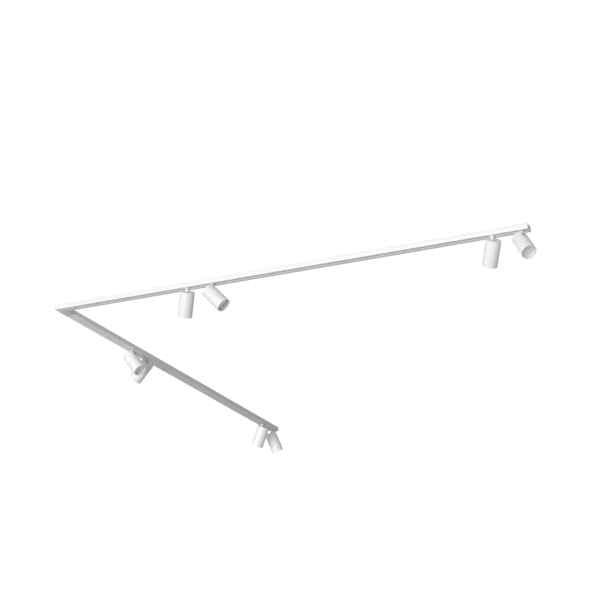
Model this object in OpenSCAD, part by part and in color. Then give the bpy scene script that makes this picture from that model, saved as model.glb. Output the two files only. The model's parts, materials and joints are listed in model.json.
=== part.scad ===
// Two-arm surface track with eight adjustable cylinder spots.
// Origin: the crossing of the two arms' centre lines, on the ceiling face. +Z is up.
// The long axis of arm 1 is +X and that of arm 2 is +Y.

/* [Track] */
// Length of each arm, from the outer corner to the tip
arm_len = 2000; // [1996:1:2400]
// Width of the track
track_w = 39; // [39:0.5:42]
// Height of the track
track_h = 20; // [20:0.5:22]
// Wall thickness of the extrusion
wall = 1.6; // [1.4:0.1:1.8]
// Width of the slot along the underside
slot_w = 5.8; // [5.6:0.1:6.4]
// Height of the turned-up lips beside the slot
lip_h = 5.5; // [5:0.1:5.5]
// Distances of the screw holes from the origin, along each arm
fixing_at = [160, 820, 1300, 1780]; // [120:10:1800]
// Diameter of the screw holes
fixing_d = 5; // [4:0.5:5.5]

/* [Corner] */
// Length of the corner's legs, from the outer corner
corner_leg = 90; // [80:1:110]
// Wall thickness of the corner's shell
shell_t = 2; // [1.6:0.1:2.4]
// Diameter of the cable entry
cable_d = 9; // [7:0.5:10]

/* [Spots] */
// Distances of arm 1's spots from the outer corner
spots_1 = [602, 713, 1860, 1970]; // [200:1:1970]
// Distances of arm 2's spots from the outer corner
spots_2 = [585, 698, 1853, 1968]; // [200:1:1970]
// Headings of arm 1's spots, from +X
pans_1 = [128, 3, 125, 318]; // [0:1:359]
// Headings of arm 2's spots, from +X
pans_2 = [353, 161, 157, 58]; // [0:1:359]
// Tilts of arm 1's spots, from straight down
tilts_1 = [32, 43, 40, 39]; // [0:1:90]
// Tilts of arm 2's spots, from straight down
tilts_2 = [39, 54, 28, 28]; // [0:1:90]

/* [Head] */
// Outer diameter of the head
head_d = 57; // [54:1:60]
// Length of the head
head_len = 100; // [95:1:120]
// Wall thickness of the head
head_t = 2; // [1.6:0.1:2.4]
// Depth of the recess in front of the lens
recess = 17; // [12:1:22]
// Height of the head's top above the tilt pivot
top_above = 25; // [25:0.5:27]
// Drop from the track's underside to the tilt pivot
pivot_drop = 39.5; // [39.5:0.5:44]

/* [Hidden] */
$fn = 72;
fit = 0.3;
half_w = track_w / 2;
rail_from = corner_leg - half_w + 0.15;
cap_t = 3;
plug_t = 3;
rail_to = arm_len - half_w - cap_t;
lip_t = 1.6;
in_w = half_w - wall - 0.1;
liner_t = 2.8;
liner_web = 1;
chan_w = in_w - liner_t;
strip_z = -9.5;
strip_h = 3.6;
strip_t = 1.2;
strip_in = chan_w + 0.35;
chan_top = -wall - 0.1 - liner_web - fit;
chan_low = -track_h + lip_h + fit;
carriage_len = 40;
carriage_w = chan_w - 0.4;
collar_r = 9;
collar_z = -track_h - fit;
collar_t = 1.5;
spindle_r = 2.5;
run = 0.05;
stem_r = 6;
rivet_r = 6.5;
rivet_t = 1.5;
seat_z = -9;
pivot_z = -track_h - pivot_drop;
eye_r = 7;
eye_w = 12.2;
pin_r = 2.5;
ear_t = 3;
ear_in = eye_w / 2 + fit;
gap_r = stem_r + 0.4;
head_r = head_d / 2;
bore_r = head_r - head_t;
mouth_z = top_above - head_len;
lens_z = mouth_z + recess;
edge = 1;
link_t = 0.7;
at = concat(spots_1, spots_2);
pan = concat(pans_1, pans_2);
tilt = concat(tilts_1, tilts_2);
SPOTS = [1 : len(at)];
TRACK = ["rail_1", "rail_2", "liner_1", "liner_2", "conductors_1", "conductors_2",
    "end_cap_1", "end_cap_2", "corner_shell", "corner_lid", "contact_carrier", "link_contacts"];
SPOT = ["adapter", "contacts", "stem", "pivot_pin", "housing", "lamp"];

// Arm 2 is arm 1 with X and Y exchanged.
module arm(n) {
    if (n == 1) children();
    else mirror([1, -1, 0]) children();
}

// Runs a Y-Z outline along X, from x0 to x1.
module along(x0, x1) {
    translate([x0, 0, 0]) rotate([90, 0, 90]) linear_extrude(x1 - x0) children();
}

// A box from one corner to the other.
module block(low, high) {
    translate(low) cube(high - low);
}

// Puts its child at spot i, on the ceiling plane, with X along the arm.
module on_track(i) {
    arm(i <= len(spots_1) ? 1 : 2) translate([at[i - 1] - half_w, 0, 0]) children();
}

// Puts its child at spot i's tilt pivot, turned to the spot's heading.
module on_stem(i) {
    long = i <= len(spots_1);
    s = at[i - 1] - half_w;
    translate([long ? s : 0, long ? 0 : s, pivot_z]) rotate([0, 0, pan[i - 1]]) children();
}

// The same, tilted as well.
module on_head(i) {
    on_stem(i) rotate([0, -tilt[i - 1], 0]) children();
}

module rail_outline() {
    difference() {
        translate([-half_w, -track_h]) square([track_w, track_h]);
        translate([-half_w + wall, -track_h + lip_h]) square([track_w - 2 * wall, track_h - wall - lip_h]);
        translate([-slot_w / 2, -track_h - 1]) square([slot_w, lip_h + 2]);
        for (side = [0, 1]) mirror([side, 0]) translate([slot_w / 2 + lip_t, -track_h + wall])
            square([(track_w - slot_w) / 2 - wall - lip_t, lip_h]);
    }
}

module screw_holes(d) {
    for (x = fixing_at) translate([x, 0, -wall - 2]) cylinder(d = d, h = wall + 4);
}

module rail(n) {
    color("white") arm(n) difference() {
        along(rail_from, rail_to) rail_outline();
        screw_holes(fixing_d);
    }
}

module liner_outline() {
    difference() {
        translate([-in_w, -track_h + wall + 0.1]) square([2 * in_w, track_h - 2 * wall - 0.2]);
        translate([-chan_w, -track_h]) square([2 * chan_w, track_h - wall - 0.1 - liner_web]);
        translate([-chan_w - 1.6, strip_z - 2]) square([2 * chan_w + 3.2, 4]);
    }
}

module liner(n) {
    color("whitesmoke") arm(n) difference() {
        along(rail_from + 1, rail_to - 1) liner_outline();
        screw_holes(2 * fixing_d);
    }
}

module conductors(n) {
    color("peru") arm(n) along(rail_from + 2, rail_to - 2)
        for (side = [0, 1]) mirror([side, 0])
            translate([strip_in, strip_z - strip_h / 2]) square([strip_t, strip_h]);
}

module end_cap(n) {
    color("white") arm(n) {
        block([rail_to + 0.05, -half_w, -track_h], [rail_to + cap_t, half_w, 0]);
        block([rail_to - plug_t, -carriage_w, chan_low], [rail_to + 0.05, carriage_w, chan_top]);
    }
}

// An L with its outer faces at -outer and its inner ones at inner, reaching to end on both axes.
module corner_outline(outer, inner, end) {
    translate([-outer, -outer]) square([outer + end, outer + inner]);
    translate([-outer, -outer]) square([outer + inner, outer + end]);
}

module corner_shell() {
    end = corner_leg - half_w;
    in = half_w - shell_t;
    color("white") difference() {
        translate([0, 0, -track_h]) linear_extrude(track_h) corner_outline(half_w, half_w, end);
        translate([0, 0, -track_h - 1]) linear_extrude(track_h + 1 - shell_t) corner_outline(in, in, end + 1);
        translate([end / 2 + 8, 0, -shell_t - 1]) cylinder(d = cable_d, h = shell_t + 2);
    }
}

module corner_lid() {
    in = half_w - shell_t - 0.15;
    color("white") translate([0, 0, -track_h]) linear_extrude(shell_t)
        corner_outline(in, in, corner_leg - half_w);
}

// Insulating bar that turns the corner and plugs into both rails.
module contact_carrier() {
    end = rail_from + 12;
    color("lightgrey") difference() {
        translate([0, 0, chan_low]) linear_extrude(chan_top - chan_low)
            corner_outline(carriage_w, carriage_w, end);
        block([24, -10, chan_low + 2], [62, 10, 0]);
    }
}

// Two bent strips join the arms' conductors; a clamp block on each takes the supply's wire.
module link_contacts() {
    end = rail_from + 12;
    color("peru") {
        for (edge_at = [-carriage_w - link_t, carriage_w])
            translate([0, 0, strip_z - strip_h / 2]) linear_extrude(strip_h) difference() {
                translate([edge_at, edge_at]) square(end - edge_at);
                translate([edge_at + link_t, edge_at + link_t]) square(2 * end);
            }
        for (x = [28, 36]) difference() {
            block([x, -7, chan_low + 2], [x + 6, 7, chan_low + 8]);
            translate([x + 3, 4, chan_low + 3]) cylinder(r = 1.5, h = 6, $fn = 24);
            translate([x + 3, -4, chan_low + 3]) cylinder(r = 1.5, h = 6, $fn = 24);
        }
    }
}

// Carriage that slides in the channel and carries the spindle.
module adapter(i) {
    half = carriage_len / 2;
    color("white") on_track(i) difference() {
        block([-half, -carriage_w, chan_low], [half, carriage_w, chan_top]);
        translate([0, 0, chan_low - 1]) cylinder(r = spindle_r + run, h = track_h);
        translate([0, 0, seat_z]) cylinder(r = rivet_r + 0.5, h = track_h);
        for (side = [0, 1]) mirror([0, side, 0])
            block([-4, carriage_w - 1.7, strip_z - 1.5], [4, carriage_w + 1, strip_z + 1.5]);
    }
}

module contacts(i) {
    color("gold") on_track(i) for (side = [0, 1]) mirror([0, side, 0]) {
        block([-4, carriage_w - 1.7, strip_z - 1.5], [4, carriage_w, strip_z + 1.5]);
        block([-8, carriage_w, strip_z - 1.5], [8, chan_w + 0.05, strip_z + 1.5]);
    }
}

// Spindle through the slot, riveted above the carriage's seat, with the collar, shank and eye below.
module stem(i) {
    color("white") on_stem(i) difference() {
        union() {
            translate([0, 0, seat_z + fit - pivot_z]) cylinder(r = rivet_r, h = rivet_t);
            cylinder(r = spindle_r, h = seat_z + fit + rivet_t - pivot_z);
            translate([0, 0, collar_z - collar_t - pivot_z]) cylinder(r = collar_r, h = collar_t);
            cylinder(r = stem_r, h = collar_z - pivot_z);
            rotate([90, 0, 0]) cylinder(r = eye_r, h = eye_w, center = true);
        }
        rotate([90, 0, 0]) cylinder(r = pin_r + run, h = eye_w + 2, center = true);
    }
}

module pivot_pin(i) {
    out = ear_in + ear_t;
    color("silver") on_head(i) rotate([90, 0, 0]) {
        cylinder(r = pin_r, h = 2 * out, center = true);
        translate([0, 0, out]) cylinder(r = 4, h = 1.6);
        translate([0, 0, -out - 1.2]) cylinder(r = 3.5, h = 1.2);
    }
}

module housing_outline() {
    polygon([[0, top_above], [head_r - edge, top_above], [head_r, top_above - edge],
        [head_r, mouth_z + 0.4], [head_r - 0.4, mouth_z], [bore_r, mouth_z],
        [bore_r, top_above - 3], [0, top_above - 3]]);
}

// Tube with a closed top, a slot that lets the stem swing out to one side, and two ears for the pin.
module housing(i) {
    color("white") on_head(i) difference() {
        union() {
            rotate_extrude($fn = 96) housing_outline();
            for (side = [0, 1]) mirror([0, side, 0])
                block([-8, ear_in, -8], [8, ear_in + ear_t, top_above - 2]);
        }
        block([0, -gap_r, 0], [head_d, gap_r, head_len]);
        cylinder(r = gap_r, h = head_len);
        rotate([0, 90, 0]) cylinder(r = gap_r, h = head_d);
        rotate([90, 0, 0]) cylinder(r = pin_r + 0.02, h = 2 * (ear_in + ear_t) + 2, center = true);
    }
}

// Light engine: finned heat sink, reflector and front lens.
module lamp(i) {
    r = bore_r - 0.1;
    color("gainsboro") on_head(i) rotate_extrude($fn = 96) polygon([[0, -12], [r, -12], [r, -15],
        [r - 5, -15], [r - 5, -17], [r, -17], [r, -20], [r - 5, -20], [r - 5, -22], [r, -22],
        [r, -25], [14, -25], [18, -34], [22, -44], [r, lens_z + 3], [r, lens_z],
        [r - 2, lens_z], [r - 3, lens_z + 1], [0, lens_z + 1]]);
}

for (n = [1, 2]) {
    rail(n);
    liner(n);
    conductors(n);
    end_cap(n);
}
corner_shell();
corner_lid();
contact_carrier();
link_contacts();
for (i = SPOTS) {
    adapter(i);
    contacts(i);
    stem(i);
    pivot_pin(i);
    housing(i);
    lamp(i);
}
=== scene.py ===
import json
import math

import bmesh
import bpy
from mathutils import Matrix, Vector


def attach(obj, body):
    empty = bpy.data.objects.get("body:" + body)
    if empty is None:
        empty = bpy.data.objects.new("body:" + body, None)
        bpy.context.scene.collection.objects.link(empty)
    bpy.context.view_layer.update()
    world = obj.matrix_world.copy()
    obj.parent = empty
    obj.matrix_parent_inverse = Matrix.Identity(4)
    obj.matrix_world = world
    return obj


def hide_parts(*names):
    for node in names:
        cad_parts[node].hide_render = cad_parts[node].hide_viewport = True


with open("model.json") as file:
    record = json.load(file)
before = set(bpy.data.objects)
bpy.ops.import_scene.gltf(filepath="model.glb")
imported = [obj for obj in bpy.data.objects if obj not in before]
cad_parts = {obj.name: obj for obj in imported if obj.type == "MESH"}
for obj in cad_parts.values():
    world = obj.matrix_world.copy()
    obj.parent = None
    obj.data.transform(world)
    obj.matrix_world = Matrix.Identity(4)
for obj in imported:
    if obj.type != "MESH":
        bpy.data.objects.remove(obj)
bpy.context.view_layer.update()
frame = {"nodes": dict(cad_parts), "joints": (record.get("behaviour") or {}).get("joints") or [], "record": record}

# Two-arm surface track with eight adjustable cylinder spots.
# Metres, in the CAD frame: origin where the arms' centre lines cross, on the ceiling face, +Z up.

JOINTS = {joint["name"]: joint for joint in frame["joints"]}
SPOTS = range(1, 1 + sum(name.startswith("tilt_") for name in JOINTS))
MM = 0.001

# Sizes that the CAD model also has, for the pieces that stand for its nodes.
# Heights in the head are along its axis from the tilt pivot.
HEAD_R = 28.5 * MM
BORE_R = 26.5 * MM
TOP_Z = 25 * MM
MOUTH_Z = -75 * MM
CAP_T = 3 * MM
LENS_Z = -58 * MM
LAMP_R = 26.4 * MM
LAMP_TOP = -12 * MM
BOARD_Z = -25 * MM
GAP_R = 6.4 * MM
EAR_IN = 6.4 * MM
EAR_T = 3 * MM
EAR_HALF = 8 * MM
PIN_R = 2.5 * MM
EYE_R = 7 * MM
EYE_W = 12.2 * MM
STEM_R = 6 * MM
SPINDLE_R = 2.5 * MM
RIVET_R = 6.5 * MM
COLLAR_R = 9 * MM
COLLAR_T = 1.5 * MM
COLLAR_TOP = -20.3 * MM
RIVET_Z = -8.7 * MM
RIVET_T = 1.5 * MM

# Small radii that only the visual model has, and the angle from which an edge stays sharp
TOP_EDGE_R = 1.0 * MM
MOUTH_EDGE_R = 0.4 * MM
TURNED_EDGE_R = 0.5 * MM
SMOOTH_ANGLE = math.radians(32)

# Colours of one finish: the plain one and the one that its mottling fades to
TRACK_WHITE = (0.90, 0.90, 0.90), (0.87, 0.87, 0.87)
HEAD_WHITE = (0.90, 0.90, 0.90), (0.86, 0.86, 0.86)
BAFFLE_GREY = (0.76, 0.76, 0.77), (0.72, 0.72, 0.73)
LINER_WHITE = (0.88, 0.88, 0.87), (0.84, 0.84, 0.83)
LENS_GREY = (0.46, 0.47, 0.48), (0.52, 0.53, 0.54)
COPPER = (0.86, 0.50, 0.33), (0.62, 0.34, 0.22)
YELLOW_BRASS = (0.86, 0.70, 0.38), (0.68, 0.52, 0.25)
PIN_STEEL = (0.66, 0.66, 0.67), (0.52, 0.52, 0.54)
CAST_GREY = (0.76, 0.77, 0.78), (0.64, 0.65, 0.67)
MIRROR_GREY = (0.82, 0.82, 0.83), (0.74, 0.74, 0.76)
FLOOR_WHITE = (0.82, 0.82, 0.82), (0.78, 0.78, 0.78)

# Stage, light and camera. The camera comes from a pinhole fit to the track's edges.
FLOOR_Z = -14.0
FLOOR_HALF = 400.0
FLOOR_GLOW = 0.75
# Painted light: the lens glows to lighten the shade deep in each head's recess
LENS_PAINTED_LIGHT = 0.36
# Painted light: the liner glows, so that the shade inside the track's slot shows as a lighter line
LINER_PAINTED_LIGHT = 0.22
SURROUND = 0.36
SUN_ANGLE = math.radians(30)
SUNS = (
    ("key", 2.05, (0.0, -0.97, -0.17)),
    ("fill", 0.36, (-0.65, -0.74, -0.17)),
    ("rim", 0.8, (-0.42, 0.85, 0.32)),
)
CAMERA_AT = (3.606, -5.394, -2.356)
CAMERA_HEADING = math.radians(25.17)
CAMERA_RISE = math.radians(20.36)
CAMERA_LENS = 100.9


# ---------------------------------------------------------------- materials

def new_material(name):
    material = bpy.data.materials.new(name)
    material.use_nodes = True
    tree = material.node_tree
    return material, tree, tree.nodes["Principled BSDF"]


def object_coords(tree, scale=(1, 1, 1)):
    coords = tree.nodes.new("ShaderNodeTexCoord")
    mapping = tree.nodes.new("ShaderNodeMapping")
    mapping.inputs["Scale"].default_value = scale
    tree.links.new(coords.outputs["Object"], mapping.inputs["Vector"])
    return mapping.outputs["Vector"]


def noise(tree, vector, scale, detail=3.0, roughness=0.5):
    node = tree.nodes.new("ShaderNodeTexNoise")
    node.inputs["Scale"].default_value = scale
    node.inputs["Detail"].default_value = detail
    node.inputs["Roughness"].default_value = roughness
    tree.links.new(vector, node.inputs["Vector"])
    return node.outputs["Fac"]


def remap(tree, value, low, high, start=0.3, stop=0.7):
    node = tree.nodes.new("ShaderNodeMapRange")
    node.inputs["From Min"].default_value = start
    node.inputs["From Max"].default_value = stop
    node.inputs["To Min"].default_value = low
    node.inputs["To Max"].default_value = high
    tree.links.new(value, node.inputs["Value"])
    return node.outputs["Result"]


def blend_colour(tree, factor, first, second):
    node = tree.nodes.new("ShaderNodeMix")
    node.data_type = "RGBA"
    # inputs 6 and 7 and output 2 are the node's colour sockets
    for socket, value in ((node.inputs[6], first), (node.inputs[7], second)):
        if isinstance(value, tuple):
            socket.default_value = (*value, 1)
        else:
            tree.links.new(value, socket)
    tree.links.new(factor, node.inputs[0])
    return node.outputs[2]


def bump(tree, height, distance, strength=1.0, normal=None):
    node = tree.nodes.new("ShaderNodeBump")
    node.inputs["Strength"].default_value = strength
    node.inputs["Distance"].default_value = distance
    tree.links.new(height, node.inputs["Height"])
    if normal is not None:
        tree.links.new(normal, node.inputs["Normal"])
    return node.outputs["Normal"]


def powder_coat(name, colours, roughness):
    """Satin powder coat: orange peel, faint mottling, fine specks and an uneven sheen."""
    colour, shade = colours
    material, tree, shader = new_material(name)
    vector = object_coords(tree)
    mottle = remap(tree, noise(tree, vector, 9, 4), 0, 1)
    base = blend_colour(tree, mottle, colour, shade)
    speck = remap(tree, noise(tree, vector, 2600, 1), 0, 0.35, 0.62, 0.78)
    base = blend_colour(tree, speck, base, tuple(0.93 * c for c in shade))
    tree.links.new(base, shader.inputs["Base Color"])
    uneven = remap(tree, noise(tree, vector, 60, 5), roughness - 0.06, roughness + 0.08)
    tree.links.new(uneven, shader.inputs["Roughness"])
    peel = bump(tree, noise(tree, vector, 420, 2, 0.45), 0.05 * MM, 0.5)
    grain = bump(tree, noise(tree, vector, 1900, 2), 0.03 * MM, 0.5, peel)
    tree.links.new(grain, shader.inputs["Normal"])
    shader.inputs["Coat Weight"].default_value = 0.12
    shader.inputs["Coat Roughness"].default_value = 0.3
    return material


def moulded_plastic(name, colours, roughness, glow=0.0):
    """Spark-eroded mould texture with slow shade changes from the flow of the melt.

    An optional glow is painted light, which lightens the shade that falls on the plastic inside the track's slot.
    """
    material, tree, shader = new_material(name)
    vector = object_coords(tree)
    flow = remap(tree, noise(tree, object_coords(tree, (1, 1, 3)), 25, 3), 0, 1)
    melt = blend_colour(tree, flow, *colours)
    tree.links.new(melt, shader.inputs["Base Color"])
    # painted light: the glow lightens the plastic where shade falls
    tree.links.new(melt, shader.inputs["Emission Color"])
    shader.inputs["Emission Strength"].default_value = glow
    uneven = remap(tree, noise(tree, vector, 300, 3), roughness - 0.05, roughness + 0.07)
    tree.links.new(uneven, shader.inputs["Roughness"])
    cells = tree.nodes.new("ShaderNodeTexVoronoi")
    cells.inputs["Scale"].default_value = 1500
    tree.links.new(vector, cells.inputs["Vector"])
    erosion = bump(tree, cells.outputs["Distance"], 0.04 * MM, 0.6)
    tree.links.new(erosion, shader.inputs["Normal"])
    return material


def drawn_metal(name, colours, roughness, scale):
    """Metal with a little tarnish, and draw marks along the axis of the smallest scale."""
    material, tree, shader = new_material(name)
    shader.inputs["Metallic"].default_value = 1
    lines = noise(tree, object_coords(tree, scale), 1, 4, 0.6)
    tarnish = remap(tree, noise(tree, object_coords(tree), 45, 5), 0, 1, 0.35, 0.75)
    tree.links.new(blend_colour(tree, tarnish, *colours), shader.inputs["Base Color"])
    uneven = remap(tree, lines, roughness - 0.08, roughness + 0.12)
    tree.links.new(uneven, shader.inputs["Roughness"])
    tree.links.new(bump(tree, lines, 0.03 * MM, 0.5), shader.inputs["Normal"])
    return material


def frosted_lens(name):
    """Etched polycarbonate over the lamp: a fine grain, faint milky tone changes, and a glow of painted light that
    lightens the shade in the recess.
    """
    material, tree, shader = new_material(name)
    vector = object_coords(tree)
    milk = remap(tree, noise(tree, vector, 120, 4), 0, 1)
    colour = blend_colour(tree, milk, *LENS_GREY)
    tree.links.new(colour, shader.inputs["Base Color"])
    uneven = remap(tree, noise(tree, vector, 700, 3), 0.24, 0.36)
    tree.links.new(uneven, shader.inputs["Roughness"])
    grain = bump(tree, noise(tree, vector, 2400, 2), 0.02 * MM, 0.5)
    tree.links.new(grain, shader.inputs["Normal"])
    # painted light: the glow lightens the lens in the shade of the head's recess
    tree.links.new(colour, shader.inputs["Emission Color"])
    shader.inputs["Emission Strength"].default_value = LENS_PAINTED_LIGHT
    shader.inputs["IOR"].default_value = 1.58
    return material


def reflector_metal(name):
    """Vacuum-metallised reflector, slightly satin."""
    material, tree, shader = new_material(name)
    shader.inputs["Metallic"].default_value = 1
    vector = object_coords(tree)
    haze = remap(tree, noise(tree, vector, 200, 4), 0, 1)
    tree.links.new(blend_colour(tree, haze, *MIRROR_GREY), shader.inputs["Base Color"])
    tree.links.new(remap(tree, noise(tree, vector, 500, 3), 0.16, 0.3), shader.inputs["Roughness"])
    grain = bump(tree, noise(tree, vector, 900, 2), 0.02 * MM, 0.4)
    tree.links.new(grain, shader.inputs["Normal"])
    return material


def plaster(name):
    """Pale studio floor that glows a little, so that it stays pale in every view."""
    material, tree, shader = new_material(name)
    vector = object_coords(tree)
    patch = remap(tree, noise(tree, vector, 0.8, 5), 0, 1)
    colour = blend_colour(tree, patch, *FLOOR_WHITE)
    tree.links.new(colour, shader.inputs["Base Color"])
    tree.links.new(colour, shader.inputs["Emission Color"])
    shader.inputs["Emission Strength"].default_value = FLOOR_GLOW
    shader.inputs["Roughness"].default_value = 0.85
    grain = bump(tree, noise(tree, vector, 90, 5), 0.6 * MM, 0.4)
    tree.links.new(grain, shader.inputs["Normal"])
    return material


TRACK_PAINT = powder_coat("track_powder_coat", TRACK_WHITE, 0.46)
HEAD_PAINT = powder_coat("head_powder_coat", HEAD_WHITE, 0.40)
BAFFLE_COAT = powder_coat("baffle_coat", BAFFLE_GREY, 0.55)
WHITE_PLASTIC = moulded_plastic("white_moulding", TRACK_WHITE, 0.5)
# the liner's glow is painted light that lightens the shade in the slot along the track's underside
LINER_PLASTIC = moulded_plastic("liner_extrusion", LINER_WHITE, 0.55, LINER_PAINTED_LIGHT)
COPPER_X = drawn_metal("copper_strip_x", COPPER, 0.3, (3, 900, 900))
COPPER_Y = drawn_metal("copper_strip_y", COPPER, 0.3, (900, 3, 900))
BRASS = drawn_metal("contact_brass", YELLOW_BRASS, 0.3, (600, 600, 60))
STEEL = drawn_metal("turned_steel", PIN_STEEL, 0.32, (900, 900, 900))
ALUMINIUM = drawn_metal("cast_aluminium", CAST_GREY, 0.42, (500, 500, 500))
LENS = frosted_lens("frosted_lens")
REFLECTOR = reflector_metal("metallised_reflector")


# ---------------------------------------------------------------- mesh tools

def finish_mesh(mesh, angle=SMOOTH_ANGLE):
    mesh.shade_smooth()
    mesh.set_sharp_from_angle(angle=angle)
    mesh.validate()


def mesh_object(name, mesh, material, body, replaced=()):
    piece = bpy.data.objects.new(name, mesh)
    bpy.context.scene.collection.objects.link(piece)
    mesh.materials.clear()
    mesh.materials.append(material)
    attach(piece, body)
    if replaced:
        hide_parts(*replaced)
    return piece


def lathe(name, outline, steps=128):
    """Turns an outline of (radius, height) points about Z. Points on the axis close the end."""
    bm = bmesh.new()
    rings = []
    for radius, height in outline:
        if radius < 1e-7:
            rings.append([bm.verts.new((0, 0, height))])
            continue
        rings.append([
            bm.verts.new((radius * math.cos(a), radius * math.sin(a), height))
            for a in (2 * math.pi * k / steps for k in range(steps))
        ])
    closed = len(rings[0]) > 1 and len(rings[-1]) > 1
    pairs = list(zip(rings, rings[1:])) + ([(rings[-1], rings[0])] if closed else [])
    for low, high in pairs:
        for k in range(steps):
            nxt = (k + 1) % steps
            corners = [low[k % len(low)], low[nxt % len(low)]]
            corners += [high[nxt % len(high)], high[k % len(high)]]
            bm.faces.new(list(dict.fromkeys(corners)))
    bmesh.ops.recalc_face_normals(bm, faces=bm.faces)
    mesh = bpy.data.meshes.new(name)
    bm.to_mesh(mesh)
    bm.free()
    return mesh


def arc(centre, radius, start, stop, steps=6):
    """Points of a round corner in (radius, height), angles in degrees."""
    angles = [math.radians(start + (stop - start) * k / steps) for k in range(steps + 1)]
    return [(centre[0] + radius * math.cos(a), centre[1] + radius * math.sin(a)) for a in angles]


def prism(name, outline, height):
    """Raises a closed outline of (x, y) points along Z."""
    bm = bmesh.new()
    floor = bm.faces.new([bm.verts.new((x, y, 0)) for x, y in outline])
    grown = bmesh.ops.extrude_face_region(bm, geom=[floor])
    lifted = [v for v in grown["geom"] if isinstance(v, bmesh.types.BMVert)]
    bmesh.ops.translate(bm, vec=(0, 0, height), verts=lifted)
    bmesh.ops.recalc_face_normals(bm, faces=bm.faces)
    mesh = bpy.data.meshes.new(name)
    bm.to_mesh(mesh)
    bm.free()
    return mesh


def box_mesh(name, low, high):
    bm = bmesh.new()
    bmesh.ops.create_cube(bm, size=1)
    size = Vector(high) - Vector(low)
    bmesh.ops.scale(bm, vec=size, verts=bm.verts)
    bmesh.ops.translate(bm, vec=(Vector(high) + Vector(low)) / 2, verts=bm.verts)
    mesh = bpy.data.meshes.new(name)
    bm.to_mesh(mesh)
    bm.free()
    return mesh


def combine(target, tool, operation):
    """Joins or cuts two meshes and returns the result."""
    objects = []
    for mesh in (target, tool):
        item = bpy.data.objects.new("work", mesh)
        bpy.context.scene.collection.objects.link(item)
        objects.append(item)
    modifier = objects[0].modifiers.new("combine", "BOOLEAN")
    modifier.operation = operation
    modifier.solver = "EXACT"
    modifier.object = objects[1]
    bpy.context.view_layer.update()
    depsgraph = bpy.context.evaluated_depsgraph_get()
    result = bpy.data.meshes.new_from_object(objects[0].evaluated_get(depsgraph))
    for item in objects:
        bpy.data.objects.remove(item)
    return result


def turned(mesh, matrix):
    mesh.transform(matrix)
    return mesh


def soften(mesh, width, segments=2, angle=math.radians(35)):
    """Rounds every sharp edge of a mesh by a small radius."""
    bm = bmesh.new()
    bm.from_mesh(mesh)
    # joins what the tessellation split, so that only real edges are rounded
    bmesh.ops.remove_doubles(bm, verts=bm.verts, dist=1e-6)
    bmesh.ops.dissolve_limit(bm, angle_limit=math.radians(0.5), verts=bm.verts, edges=bm.edges)
    sharp = [e for e in bm.edges if len(e.link_faces) == 2 and e.calc_face_angle(0) > angle]
    bmesh.ops.bevel(
        bm, geom=sharp, offset=width, segments=segments, profile=0.5,
        affect="EDGES", clamp_overlap=True,
    )
    bmesh.ops.recalc_face_normals(bm, faces=bm.faces)
    bm.to_mesh(mesh)
    bm.free()


def rounded_node(node, material, width=0.3 * MM):
    """Stands for a CAD node with the same shape and softened edges."""
    mesh = frame["nodes"][node].data.copy()
    soften(mesh, width)
    finish_mesh(mesh)
    bodies = frame["record"]["behaviour"]["bodies"]
    body = next(name for name, members in bodies.items() if node in members)
    return mesh_object(node + "_rounded", mesh, material, body, (node,))


# ---------------------------------------------------------------- places

def spot_frames(spot):
    """The stem's and the head's matrices, with the pivot as origin and the heading as X."""
    tilt = JOINTS[f"tilt_{spot}"]
    pivot = Vector(tilt["pos_m"])
    across = -Vector(tilt["axis"])
    heading = Vector((across.y, -across.x, 0))
    # the lower limit is straight down, so it tells how far the head leans at rest
    lean = math.radians(-tilt["range_deg"][0])
    up = Vector((0, 0, 1))
    head_up = up * math.cos(lean) - heading * math.sin(lean)
    head_out = heading * math.cos(lean) + up * math.sin(lean)
    stem = Matrix((heading, across, up)).transposed().to_4x4()
    head = Matrix((head_out, across, head_up)).transposed().to_4x4()
    place = Matrix.Translation(pivot)
    return place @ stem, place @ head


# ---------------------------------------------------------------- spots

def top_slot_mesh():
    """Cuts the closed top from the axis outwards, with a round inner end."""
    # a hair narrower than the gap between the ears, so that no faces coincide
    half = GAP_R - 0.01 * MM
    outline = arc((0, 0), half, 90, 270, 24) + [(2 * HEAD_R, -half), (2 * HEAD_R, half)]
    low = TOP_Z - CAP_T - 2 * MM
    return turned(prism("top_slot", outline, CAP_T + 7 * MM), Matrix.Translation((0, 0, low)))


def side_slot_mesh():
    """Cuts the wall on the heading side down to a round end at the pivot's height."""
    start, top = 12 * MM, TOP_Z - CAP_T - 1 * MM
    outline = arc((0, 0), GAP_R, 180, 360, 24) + [(GAP_R, top), (-GAP_R, top)]
    quarter = math.radians(90)
    standing = Matrix.Rotation(quarter, 4, "Z") @ Matrix.Rotation(quarter, 4, "X")
    place = Matrix.Translation((start, 0, 0)) @ standing
    return turned(prism("side_slot", outline, HEAD_R), place)


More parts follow.
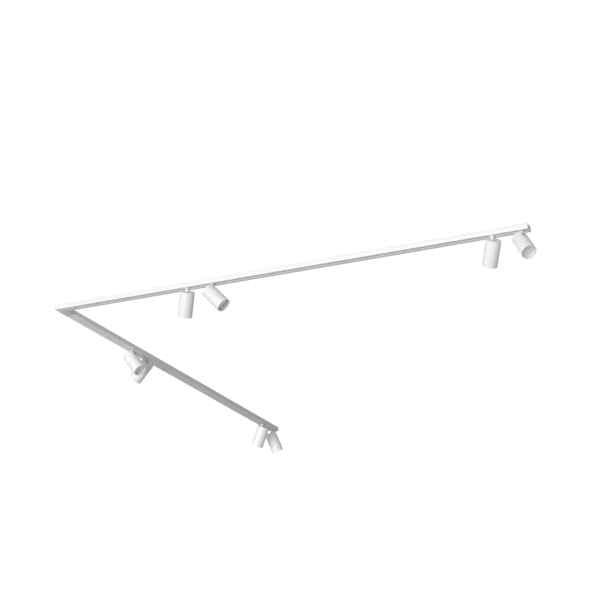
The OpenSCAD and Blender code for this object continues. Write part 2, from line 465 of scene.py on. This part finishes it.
def housing_mesh():
    """Spun tube with a rolled top edge, a dressed mouth, the stem's slot and the pin's ears."""
    outline = [(0, TOP_Z)]
    outline += arc((HEAD_R - TOP_EDGE_R, TOP_Z - TOP_EDGE_R), TOP_EDGE_R, 90, 0, 5)
    lip_z = MOUTH_Z + MOUTH_EDGE_R
    outline += arc((HEAD_R - MOUTH_EDGE_R, lip_z), MOUTH_EDGE_R, 0, -90, 4)
    outline += arc((BORE_R + MOUTH_EDGE_R, lip_z), MOUTH_EDGE_R, -90, -180, 4)
    outline += [(BORE_R, LENS_Z), (BORE_R, TOP_Z - CAP_T), (0, TOP_Z - CAP_T)]
    shell = lathe("housing", outline, 144)
    for side in (-1, 1):
        near, far = sorted((side * EAR_IN, side * (EAR_IN + EAR_T)))
        ear = box_mesh("ear", (-EAR_HALF, near, -EAR_HALF), (EAR_HALF, far, TOP_Z - 1.5 * MM))
        soften(ear, 0.6 * MM)
        shell = combine(shell, ear, "UNION")
    for cutter in (top_slot_mesh(), side_slot_mesh()):
        shell = combine(shell, cutter, "DIFFERENCE")
    half = EAR_IN + EAR_T + 1 * MM
    bore_r = PIN_R + 0.02 * MM
    bore = lathe("bore", [(0, -half), (bore_r, -half), (bore_r, half), (0, half)], 48)
    bore.transform(Matrix.Rotation(math.radians(90), 4, "X"))
    shell = combine(shell, bore, "DIFFERENCE")
    finish_mesh(shell)
    return shell


def lens_mesh():
    """Shallow dome with fine ring prisms and a plain flange."""
    rings = 26
    flange = LAMP_R - 2.2 * MM
    rise, ripple_rise = 0.6 * MM, 0.09 * MM
    front, back = LENS_Z + 1.2 * MM, LENS_Z + 3 * MM
    outline = [(0, LENS_Z + rise)]
    for k in range(1, 4 * rings):
        share = k / (4 * rings)
        dome = rise * math.cos(share * math.pi / 2)
        ripple = ripple_rise * math.sin(k * math.pi / 2)
        outline.append((flange * share, front - dome + ripple))
    outline += [(flange, front), (LAMP_R, front), (LAMP_R, back), (0, back)]
    mesh = lathe("lens", outline)
    finish_mesh(mesh, math.radians(50))
    return mesh


def baffle_mesh():
    """Anti-glare sleeve in front of the lens, with fine steps down its wall."""
    low, high = MOUTH_Z + 0.8 * MM, LENS_Z + 1.15 * MM
    outer = LAMP_R + 0.05 * MM
    root, crest = outer - 0.3 * MM, outer - 0.6 * MM
    steps = 8
    pitch = (high - low) / steps
    outline = []
    for k in range(steps):
        outline.append((root, low + k * pitch))
        outline.append((crest, low + (k + 0.85) * pitch))
    outline += [(crest, high), (outer, high), (outer, low)]
    mesh = lathe("baffle", outline)
    finish_mesh(mesh)
    return mesh


def reflector_mesh():
    """Spun cup between the lamp's board and the lens."""
    low = LENS_Z + 3.1 * MM
    throat, widening = 9 * MM, LAMP_R - 10 * MM
    wall, steps = 0.8 * MM, 12
    inside, outside = [], []
    for k in range(steps + 1):
        share = k / steps
        radius = throat + widening * math.sin(share * math.pi / 2) ** 0.9
        height = BOARD_Z + (low - BOARD_Z) * share
        inside.append((radius, height))
        outside.append((radius + wall, height))
    mesh = lathe("reflector", inside + outside[::-1])
    finish_mesh(mesh, math.radians(50))
    return mesh


def heat_sink_mesh():
    """Cast block with radial fins round its edge."""
    fins = 30
    root, tip = 19 * MM, LAMP_R - 0.05 * MM
    profile = ((0.0, root), (0.18, root), (0.22, tip), (0.68, tip), (0.72, root))
    outline = []
    for k in range(fins):
        for share, radius in profile:
            angle = 2 * math.pi * (k + share) / fins
            outline.append((radius * math.cos(angle), radius * math.sin(angle)))
    block = prism("heat_sink", outline, LAMP_TOP - BOARD_Z)
    mesh = turned(block, Matrix.Translation((0, 0, BOARD_Z)))
    soften(mesh, 0.25 * MM, 1)
    finish_mesh(mesh)
    return mesh


def pin_mesh():
    """Shoulder pin: domed head with a hexagon socket, and a riveted far end."""
    half = EAR_IN + EAR_T
    head_r, head_t = 4 * MM, 1.6 * MM
    end_r, end_t = 3.5 * MM, 1.2 * MM
    outline = [(0, -half - end_t)]
    low_centre = (end_r - TURNED_EDGE_R, -half - end_t + TURNED_EDGE_R)
    outline += arc(low_centre, TURNED_EDGE_R, -90, 0, 4)
    outline += [(end_r, -half), (PIN_R, -half), (PIN_R, half), (head_r, half)]
    dome_r = 0.8 * MM
    outline += arc((head_r - dome_r, half + head_t - dome_r), dome_r, 0, 90, 5)
    outline += [(0, half + head_t)]
    pin = lathe("pin", outline, 64)
    socket_r, floor, rim = 1.7 * MM, half + 0.5 * MM, half + 3 * MM
    socket = lathe("socket", [(0, floor), (socket_r, floor), (socket_r, rim), (0, rim)], 6)
    pin = combine(pin, socket, "DIFFERENCE")
    pin.transform(Matrix.Rotation(math.radians(90), 4, "X"))
    finish_mesh(pin)
    return pin


def stem_mesh(pivot_z):
    """Turned spindle, collar, shank and barrel eye, with small radii on the outer edges."""
    shoulder = COLLAR_TOP - pivot_z
    collar_low = shoulder - COLLAR_T
    neck_top = RIVET_Z - pivot_z
    rivet_top = neck_top + RIVET_T
    fillet_r, shoulder_r = 0.6 * MM, 0.3 * MM
    outline = [(0, 0), (STEM_R, 0)]
    outline += arc((STEM_R + fillet_r, collar_low - fillet_r), fillet_r, 180, 90, 4)
    low_centre = (COLLAR_R - TURNED_EDGE_R, collar_low + TURNED_EDGE_R)
    outline += arc(low_centre, TURNED_EDGE_R, -90, 0, 4)
    outline += arc((COLLAR_R - shoulder_r, shoulder - shoulder_r), shoulder_r, 0, 90, 3)
    outline += [(SPINDLE_R, shoulder), (SPINDLE_R, neck_top), (RIVET_R, neck_top)]
    rivet_centre = (RIVET_R - TURNED_EDGE_R, rivet_top - TURNED_EDGE_R)
    outline += arc(rivet_centre, TURNED_EDGE_R, 0, 90, 4)
    outline += [(0, rivet_top)]
    shank = lathe("shank", outline, 72)
    half = EYE_W / 2
    eye_outline = [(0, -half)]
    eye_outline += arc((EYE_R - fillet_r, -half + fillet_r), fillet_r, -90, 0, 4)
    eye_outline += arc((EYE_R - fillet_r, half - fillet_r), fillet_r, 0, 90, 4)
    eye_outline += [(0, half)]
    eye = lathe("eye", eye_outline, 72)
    eye.transform(Matrix.Rotation(math.radians(90), 4, "X"))
    bore_r = PIN_R + 0.05 * MM
    bore = lathe("eye_bore", [(0, -EYE_W), (bore_r, -EYE_W), (bore_r, EYE_W), (0, EYE_W)], 48)
    bore.transform(Matrix.Rotation(math.radians(90), 4, "X"))
    stem = combine(combine(shank, eye, "UNION"), bore, "DIFFERENCE")
    finish_mesh(stem)
    return stem


def make_spots():
    pivot_z = JOINTS["tilt_1"]["pos_m"][2]
    # name, mesh, material, slot, body, node that it stands for
    pieces = (
        ("housing_shell", housing_mesh(), HEAD_PAINT, "head_paint", "head", "housing"),
        ("lens", lens_mesh(), LENS, "lamp_body", "head", "lamp"),
        ("baffle", baffle_mesh(), BAFFLE_COAT, "lamp_body", "head", "lamp"),
        ("reflector", reflector_mesh(), REFLECTOR, "lamp_body", "head", "lamp"),
        ("heat_sink", heat_sink_mesh(), ALUMINIUM, "lamp_body", "head", "lamp"),
        ("pin_turned", pin_mesh(), STEEL, "pin_steel", "head", "pivot_pin"),
        ("stem_turned", stem_mesh(pivot_z), HEAD_PAINT, "head_paint", "swivel", "stem"),
    )
    for spot in SPOTS:
        on_stem, on_head = spot_frames(spot)
        places = {"swivel": on_stem, "head": on_head}
        for name, template, material, slot, body, node in pieces:
            mesh = turned(template.copy(), places[body])
            replaced = (f"{node}_{spot}",)
            mesh_object(f"{name}_{spot}", mesh, material, f"{body}_{spot}", replaced)
        rounded_node(f"adapter_{spot}", WHITE_PLASTIC, 0.25 * MM)
        rounded_node(f"contacts_{spot}", BRASS, 0.1 * MM)


# ---------------------------------------------------------------- track

def make_track():
    for arm, copper in ((1, COPPER_X), (2, COPPER_Y)):
        rounded_node(f"rail_{arm}", TRACK_PAINT, 0.35 * MM)
        rounded_node(f"liner_{arm}", LINER_PLASTIC, 0.15 * MM)
        rounded_node(f"conductors_{arm}", copper, 0.15 * MM)
        rounded_node(f"end_cap_{arm}", WHITE_PLASTIC, 0.4 * MM)
    rounded_node("corner_shell", WHITE_PLASTIC, 0.4 * MM)
    rounded_node("corner_lid", WHITE_PLASTIC, 0.2 * MM)
    rounded_node("contact_carrier", LINER_PLASTIC, 0.3 * MM)
    rounded_node("link_contacts", BRASS, 0.1 * MM)


# ---------------------------------------------------------------- stage, light and camera

def make_stage():
    mesh = bpy.data.meshes.new("floor")
    signs = ((-1, -1), (1, -1), (1, 1), (-1, 1))
    corners = [(x * FLOOR_HALF, y * FLOOR_HALF, FLOOR_Z) for x, y in signs]
    mesh.from_pydata(corners, [], [(0, 1, 2, 3)])
    mesh.materials.append(plaster("pale_floor"))
    floor = bpy.data.objects.new("floor", mesh)
    bpy.context.scene.collection.objects.link(floor)
    # a backdrop only: it takes no part in the light on the object
    floor.visible_diffuse = False
    floor.visible_glossy = False
    floor.visible_shadow = False


def make_light():
    """A pale surround that looks white, and three broad soft suns: key, fill and rim."""
    world = bpy.data.worlds.new("studio")
    bpy.context.scene.world = world
    world.use_nodes = True
    tree = world.node_tree
    surround = tree.nodes["Background"]
    surround.inputs["Color"].default_value = (1, 1, 1, 1)
    surround.inputs["Strength"].default_value = SURROUND
    seen = tree.nodes.new("ShaderNodeBackground")
    seen.inputs["Strength"].default_value = 1.0
    seen.inputs["Color"].default_value = (1, 1, 1, 1)
    mix = tree.nodes.new("ShaderNodeMixShader")
    path = tree.nodes.new("ShaderNodeLightPath")
    tree.links.new(path.outputs["Is Camera Ray"], mix.inputs[0])
    tree.links.new(surround.outputs[0], mix.inputs[1])
    tree.links.new(seen.outputs[0], mix.inputs[2])
    tree.links.new(mix.outputs[0], tree.nodes["World Output"].inputs["Surface"])
    for name, energy, towards in SUNS:
        sun = bpy.data.lights.new(name, "SUN")
        sun.energy = energy
        sun.angle = SUN_ANGLE
        lamp = bpy.data.objects.new(name, sun)
        bpy.context.scene.collection.objects.link(lamp)
        lamp.rotation_euler = Vector(towards).to_track_quat("Z", "Y").to_euler()


def make_camera():
    data = bpy.data.cameras.new("camera")
    data.sensor_width = 36
    data.lens = CAMERA_LENS
    data.clip_end = 200
    camera = bpy.data.objects.new("camera", data)
    bpy.context.scene.collection.objects.link(camera)
    camera.location = CAMERA_AT
    camera.rotation_euler = (math.radians(90) + CAMERA_RISE, 0, CAMERA_HEADING)
    bpy.context.scene.camera = camera


make_spots()
make_track()
make_stage()
make_light()
make_camera()
bpy.context.scene.view_settings.view_transform = "Standard"
